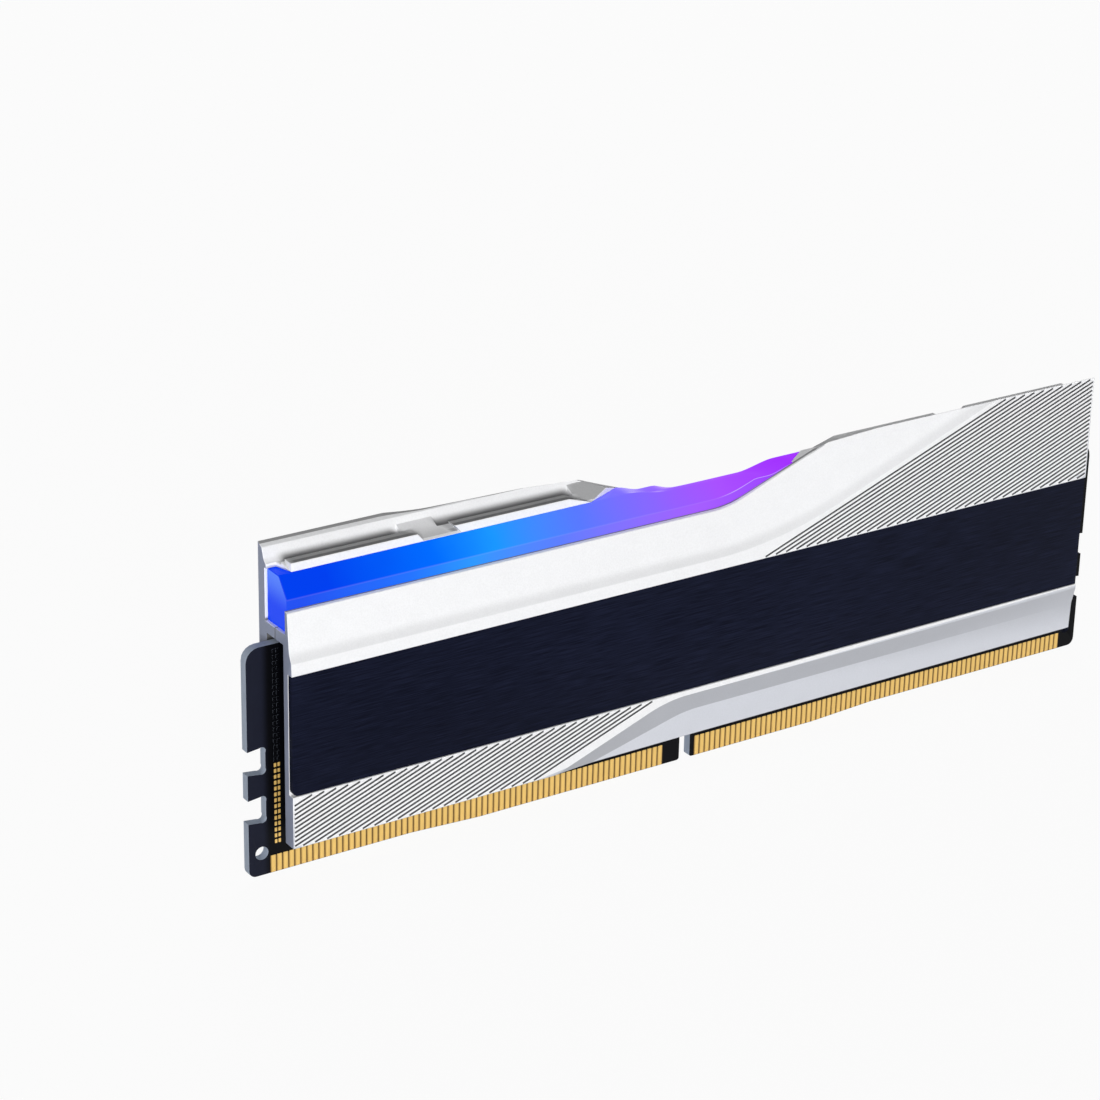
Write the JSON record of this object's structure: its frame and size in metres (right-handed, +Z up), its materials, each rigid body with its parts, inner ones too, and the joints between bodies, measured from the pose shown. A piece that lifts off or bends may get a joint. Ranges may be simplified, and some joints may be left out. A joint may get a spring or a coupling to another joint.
{
  "type": "memory module",
  "caption": "Desktop memory module: contact-edge circuit board between two silver heat spreaders with black inlays, slanted stripes, and a glowing blue-to-purple light bar along the top.",
  "frame": {"origin": "on the board's lowest contact edge, at the middle of its length and thickness, just right of the key notch", "axes": "+X along the module towards the end where the front spreader is tall, +Y towards the rear spreader, +Z up from the contacts to the light bar"},
  "size_m": [0.1334, 0.0079, 0.043],
  "materials": {
    "board": "dark satin solder mask on glass-fibre laminate",
    "contact_gold": "bright gold plating",
    "chip": "matt moulded epoxy",
    "ferrite": "matt dark ferrite",
    "capacitor_ceramic": "matt ceramic",
    "lamp": "clear lens over a white body",
    "thermal_pad": "soft matt silicone",
    "spreader_silver": "fine sandblasted silver anodising",
    "inlay_black": "brushed black anodising",
    "inlay_glue": "thin acrylic adhesive",
    "light_diffuser": "satin light-spreading plastic, lit blue to purple"
  },
  "bodies": {
    "root": {"circuit_board": "board", "contacts_front_left": "contact_gold", "contacts_front_right": "contact_gold", "contacts_rear_left": "contact_gold", "contacts_rear_right": "contact_gold", "memory_chip_1": "chip", "memory_chip_2": "chip", "memory_chip_3": "chip", "memory_chip_4": "chip", "memory_chip_5": "chip", "memory_chip_6": "chip", "memory_chip_7": "chip", "memory_chip_8": "chip", "power_chip": "chip", "serial_hub_chip": "chip", "light_control_chip": "chip", "resistor_pack_1": "chip", "resistor_pack_2": "chip", "resistor_pack_3": "chip", "resistor_pack_4": "chip", "inductor_1": "ferrite", "inductor_2": "ferrite", "inductor_3": "ferrite", "capacitor_1": "capacitor_ceramic", "capacitor_2": "capacitor_ceramic", "capacitor_3": "capacitor_ceramic", "capacitor_4": "capacitor_ceramic", "capacitor_5": "capacitor_ceramic", "capacitor_6": "capacitor_ceramic", "capacitor_7": "capacitor_ceramic", "capacitor_8": "capacitor_ceramic", "lamp_1": "lamp", "lamp_2": "lamp", "lamp_3": "lamp", "lamp_4": "lamp", "lamp_5": "lamp", "lamp_6": "lamp", "lamp_7": "lamp", "lamp_8": "lamp", "lamp_9": "lamp", "lamp_10": "lamp", "chip_pad_left": "thermal_pad", "chip_pad_right": "thermal_pad", "power_chip_pad": "thermal_pad", "rear_pad": "thermal_pad", "front_heat_spreader": "spreader_silver", "rear_heat_spreader": "spreader_silver", "front_inlay": "inlay_black", "rear_inlay": "inlay_black", "front_inlay_glue": "inlay_glue", "rear_inlay_glue": "inlay_glue", "light_bar": "light_diffuser"}
  },
  "joints": []
}
